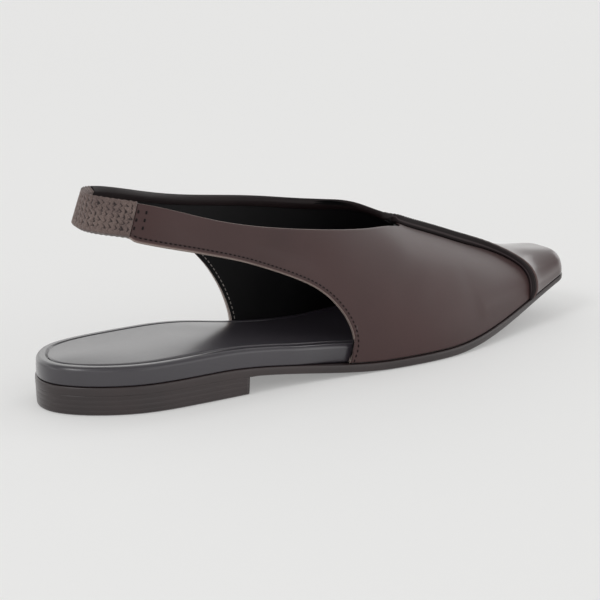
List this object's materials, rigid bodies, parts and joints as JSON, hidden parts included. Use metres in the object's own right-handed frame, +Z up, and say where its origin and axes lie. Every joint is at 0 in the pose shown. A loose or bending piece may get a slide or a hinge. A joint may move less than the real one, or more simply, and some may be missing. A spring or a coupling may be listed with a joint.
{
  "type": "sling back flat",
  "caption": "Right pointed flat shoe with a gathered elastic sling, side cut-outs, a wrapped vamp edge, a wrapped footbed and a low stacked heel.",
  "frame": {"origin": "middle of the heel's tread on the floor, on the heel's axis", "axes": "+X to the toe, +Y to the medial side, +Z up"},
  "size_m": [0.258, 0.0747, 0.0835],
  "materials": {
    "stacked_leather": "stacked leather layers, dyed and waxed",
    "sole_leather": "bark tanned sole leather, edge inked",
    "footbed_leather": "fine grained lining leather, satin",
    "upper_leather": "smooth calf leather, soft sheen",
    "edge_leather": "folded lining leather, satin",
    "elastic": "gathered leather over elastic, zigzag stitched"
  },
  "bodies": {
    "root": {"heel": "stacked_leather", "outsole": "sole_leather", "footbed": "footbed_leather", "insole": "footbed_leather", "upper": "upper_leather", "wrap_edge": "edge_leather", "sling_elastic": "elastic"}
  },
  "joints": []
}
